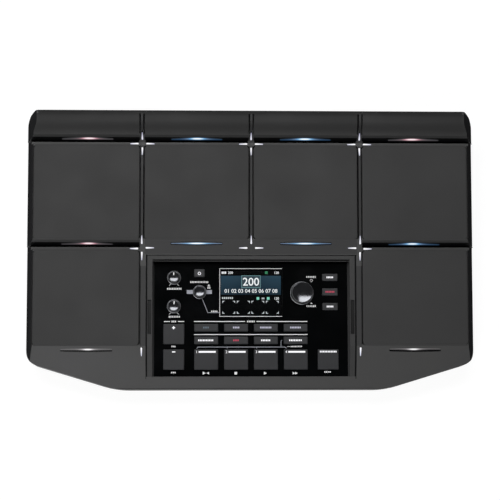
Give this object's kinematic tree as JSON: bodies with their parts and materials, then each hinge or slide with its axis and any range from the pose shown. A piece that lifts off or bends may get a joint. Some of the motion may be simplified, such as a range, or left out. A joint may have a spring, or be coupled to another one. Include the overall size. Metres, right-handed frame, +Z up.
{
  "type": "electronic percussion pad",
  "caption": "Electronic percussion pad with three stepped rows of rubber strike surfaces, light strips and a sunk control panel with display, knobs and buttons.",
  "frame": {"origin": "on the table under the middle of the case", "axes": "+X to the player's right, +Y to the rear, +Z up"},
  "size_m": [0.439, 0.27, 0.0771],
  "materials": {
    "case_plastic": "fine texture",
    "base_plastic": "fine texture",
    "pad_rubber": "matt",
    "button_plastic": "satin",
    "panel_gloss": "polished",
    "window": "polished",
    "display": "lit screen",
    "board": "solder mask",
    "switch_metal": "plated",
    "socket_plastic": "moulded",
    "film": "printed film",
    "foam": "open cell",
    "light_bar": "diffusing",
    "light_slit": "diffusing",
    "fastener": "zinc plated",
    "foot_rubber": "matt",
    "brass": "turned",
    "knob_plastic": "satin",
    "plunger_plastic": "moulded"
  },
  "bodies": {
    "case": {"top_case": "case_plastic", "bottom_case": "base_plastic", "rear_panel": "base_plastic", "panel_bezel": "case_plastic", "panel_fascia": "panel_gloss", "display_window": "window", "display_module": "display", "panel_board": "board", "key_switches": "switch_metal", "rotary_bodies": "switch_metal", "main_board": "board", "audio_jacks": "socket_plastic", "usb_socket": "switch_metal", "dc_inlet": "socket_plastic", "pad_sensors": "film", "pad_foams": "foam", "pad_light_bars": "light_bar", "star_light_guides": "light_slit", "screws_and_nuts": "fastener", "rubber_feet": "foot_rubber", "stand_inserts": "brass"},
    "bar_pad_1": {"bar_pad_1": "pad_rubber"},
    "bar_pad_2": {"bar_pad_2": "pad_rubber"},
    "bar_pad_3": {"bar_pad_3": "pad_rubber"},
    "bar_pad_4": {"bar_pad_4": "pad_rubber"},
    "strike_pad_1": {"strike_pad_1": "pad_rubber"},
    "strike_pad_2": {"strike_pad_2": "pad_rubber"},
    "strike_pad_3": {"strike_pad_3": "pad_rubber"},
    "strike_pad_4": {"strike_pad_4": "pad_rubber"},
    "strike_pad_5": {"strike_pad_5": "pad_rubber"},
    "strike_pad_6": {"strike_pad_6": "pad_rubber"},
    "power_button": {"power_button": "button_plastic"},
    "side_button_1": {"side_button_1": "button_plastic"},
    "side_button_2": {"side_button_2": "button_plastic"},
    "side_button_3": {"side_button_3": "button_plastic"},
    "kit_up_button": {"kit_up_button": "button_plastic"},
    "kit_down_button": {"kit_down_button": "button_plastic"},
    "mode_button_1": {"mode_button_1": "button_plastic"},
    "mode_button_2": {"mode_button_2": "button_plastic"},
    "mode_button_3": {"mode_button_3": "button_plastic"},
    "mode_button_4": {"mode_button_4": "button_plastic"},
    "loop_button_1": {"loop_button_1": "button_plastic"},
    "loop_button_2": {"loop_button_2": "button_plastic"},
    "loop_button_3": {"loop_button_3": "button_plastic"},
    "loop_button_4": {"loop_button_4": "button_plastic"},
    "track_button_1": {"track_button_1": "button_plastic"},
    "track_button_2": {"track_button_2": "button_plastic"},
    "track_button_3": {"track_button_3": "button_plastic"},
    "track_button_4": {"track_button_4": "button_plastic"},
    "mute_button": {"mute_button": "button_plastic"},
    "main_volume": {"main_volume_knob": "knob_plastic", "main_volume_shaft": "fastener"},
    "phones": {"phones_knob": "knob_plastic", "phones_shaft": "fastener"},
    "metronome": {"metronome_knob": "knob_plastic", "metronome_shaft": "fastener"},
    "metronome_push": {"metronome_plunger": "plunger_plastic"},
    "value": {"value_knob": "knob_plastic", "value_shaft": "fastener"},
    "value_push": {"value_plunger": "plunger_plastic"}
  },
  "joints": [
    {"name": "bar_pad_1_press", "type": "slide", "parent": "case", "child": "bar_pad_1", "axis": [0, 0.0872, -0.9962], "range_m": [0, 0.0008], "stiffness_N_per_m": 20000, "deforming": ["pad_foams"]},
    {"name": "bar_pad_2_press", "type": "slide", "parent": "case", "child": "bar_pad_2", "axis": [0, 0.0872, -0.9962], "range_m": [0, 0.0008], "stiffness_N_per_m": 20000, "deforming": ["pad_foams"]},
    {"name": "bar_pad_3_press", "type": "slide", "parent": "case", "child": "bar_pad_3", "axis": [0, 0.0872, -0.9962], "range_m": [0, 0.0008], "stiffness_N_per_m": 20000, "deforming": ["pad_foams"]},
    {"name": "bar_pad_4_press", "type": "slide", "parent": "case", "child": "bar_pad_4", "axis": [0, 0.0872, -0.9962], "range_m": [0, 0.0008], "stiffness_N_per_m": 20000, "deforming": ["pad_foams"]},
    {"name": "strike_pad_1_press", "type": "slide", "parent": "case", "child": "strike_pad_1", "axis": [0, 0.0872, -0.9962], "range_m": [0, 0.0008], "stiffness_N_per_m": 20000, "deforming": ["pad_foams"]},
    {"name": "strike_pad_2_press", "type": "slide", "parent": "case", "child": "strike_pad_2", "axis": [0, 0.0872, -0.9962], "range_m": [0, 0.0008], "stiffness_N_per_m": 20000, "deforming": ["pad_foams"]},
    {"name": "strike_pad_3_press", "type": "slide", "parent": "case", "child": "strike_pad_3", "axis": [0, 0.0872, -0.9962], "range_m": [0, 0.0008], "stiffness_N_per_m": 20000, "deforming": ["pad_foams"]},
    {"name": "strike_pad_4_press", "type": "slide", "parent": "case", "child": "strike_pad_4", "axis": [0, 0.0872, -0.9962], "range_m": [0, 0.0008], "stiffness_N_per_m": 20000, "deforming": ["pad_foams"]},
    {"name": "strike_pad_5_press", "type": "slide", "parent": "case", "child": "strike_pad_5", "axis": [0, 0.0872, -0.9962], "range_m": [0, 0.0008], "stiffness_N_per_m": 20000, "deforming": ["pad_foams"]},
    {"name": "strike_pad_6_press", "type": "slide", "parent": "case", "child": "strike_pad_6", "axis": [0, 0.0872, -0.9962], "range_m": [0, 0.0008], "stiffness_N_per_m": 20000, "deforming": ["pad_foams"]},
    {"name": "power_button_press", "type": "slide", "parent": "case", "child": "power_button", "axis": [0, 0.0523, -0.9986], "range_m": [0, 0.0008], "stiffness_N_per_m": 1500},
    {"name": "side_button_1_press", "type": "slide", "parent": "case", "child": "side_button_1", "axis": [0, 0.0523, -0.9986], "range_m": [0, 0.0008], "stiffness_N_per_m": 1500},
    {"name": "side_button_2_press", "type": "slide", "parent": "case", "child": "side_button_2", "axis": [0, 0.0523, -0.9986], "range_m": [0, 0.0008], "stiffness_N_per_m": 1500},
    {"name": "side_button_3_press", "type": "slide", "parent": "case", "child": "side_button_3", "axis": [0, 0.0523, -0.9986], "range_m": [0, 0.0008], "stiffness_N_per_m": 1500},
    {"name": "kit_up_button_press", "type": "slide", "parent": "case", "child": "kit_up_button", "axis": [0, 0.0523, -0.9986], "range_m": [0, 0.0008], "stiffness_N_per_m": 1500},
    {"name": "kit_down_button_press", "type": "slide", "parent": "case", "child": "kit_down_button", "axis": [0, 0.0523, -0.9986], "range_m": [0, 0.0008], "stiffness_N_per_m": 1500},
    {"name": "mode_button_1_press", "type": "slide", "parent": "case", "child": "mode_button_1", "axis": [0, 0.0523, -0.9986], "range_m": [0, 0.0008], "stiffness_N_per_m": 1500},
    {"name": "mode_button_2_press", "type": "slide", "parent": "case", "child": "mode_button_2", "axis": [0, 0.0523, -0.9986], "range_m": [0, 0.0008], "stiffness_N_per_m": 1500},
    {"name": "mode_button_3_press", "type": "slide", "parent": "case", "child": "mode_button_3", "axis": [0, 0.0523, -0.9986], "range_m": [0, 0.0008], "stiffness_N_per_m": 1500},
    {"name": "mode_button_4_press", "type": "slide", "parent": "case", "child": "mode_button_4", "axis": [0, 0.0523, -0.9986], "range_m": [0, 0.0008], "stiffness_N_per_m": 1500},
    {"name": "loop_button_1_press", "type": "slide", "parent": "case", "child": "loop_button_1", "axis": [0, 0.0523, -0.9986], "range_m": [0, 0.0008], "stiffness_N_per_m": 1500},
    {"name": "loop_button_2_press", "type": "slide", "parent": "case", "child": "loop_button_2", "axis": [0, 0.0523, -0.9986], "range_m": [0, 0.0008], "stiffness_N_per_m": 1500},
    {"name": "loop_button_3_press", "type": "slide", "parent": "case", "child": "loop_button_3", "axis": [0, 0.0523, -0.9986], "range_m": [0, 0.0008], "stiffness_N_per_m": 1500},
    {"name": "loop_button_4_press", "type": "slide", "parent": "case", "child": "loop_button_4", "axis": [0, 0.0523, -0.9986], "range_m": [0, 0.0008], "stiffness_N_per_m": 1500},
    {"name": "track_button_1_press", "type": "slide", "parent": "case", "child": "track_button_1", "axis": [0, 0.0523, -0.9986], "range_m": [0, 0.0008], "stiffness_N_per_m": 1500},
    {"name": "track_button_2_press", "type": "slide", "parent": "case", "child": "track_button_2", "axis": [0, 0.0523, -0.9986], "range_m": [0, 0.0008], "stiffness_N_per_m": 1500},
    {"name": "track_button_3_press", "type": "slide", "parent": "case", "child": "track_button_3", "axis": [0, 0.0523, -0.9986], "range_m": [0, 0.0008], "stiffness_N_per_m": 1500},
    {"name": "track_button_4_press", "type": "slide", "parent": "case", "child": "track_button_4", "axis": [0, 0.0523, -0.9986], "range_m": [0, 0.0008], "stiffness_N_per_m": 1500},
    {"name": "mute_button_press", "type": "slide", "parent": "case", "child": "mute_button", "axis": [0, 0.0523, -0.9986], "range_m": [0, 0.0008], "stiffness_N_per_m": 1500},
    {"name": "main_volume_turn", "type": "hinge", "parent": "case", "child": "main_volume", "pos_m": [-0.0755, -0.026, 0.04266], "axis": [0, -0.0523, 0.9986], "range_deg": [-150, 150]},
    {"name": "phones_turn", "type": "hinge", "parent": "case", "child": "phones", "pos_m": [-0.0755, -0.05407, 0.04119], "axis": [0, -0.0523, 0.9986], "range_deg": [-150, 150]},
    {"name": "metronome_press", "type": "slide", "parent": "case", "child": "metronome_push", "axis": [0, 0.0523, -0.9986], "range_m": [0, 0.0005], "stiffness_N_per_m": 3000},
    {"name": "metronome_turn", "type": "hinge", "parent": "metronome_push", "child": "metronome", "pos_m": [-0.0504, -0.04008, 0.04192], "axis": [0, -0.0523, 0.9986], "continuous": true},
    {"name": "value_press", "type": "slide", "parent": "case", "child": "value_push", "axis": [0, 0.0523, -0.9986], "range_m": [0, 0.0005], "stiffness_N_per_m": 3000},
    {"name": "value_turn", "type": "hinge", "parent": "value_push", "child": "value", "pos_m": [0.05, -0.04098, 0.04188], "axis": [0, -0.0523, 0.9986], "continuous": true}
  ]
}
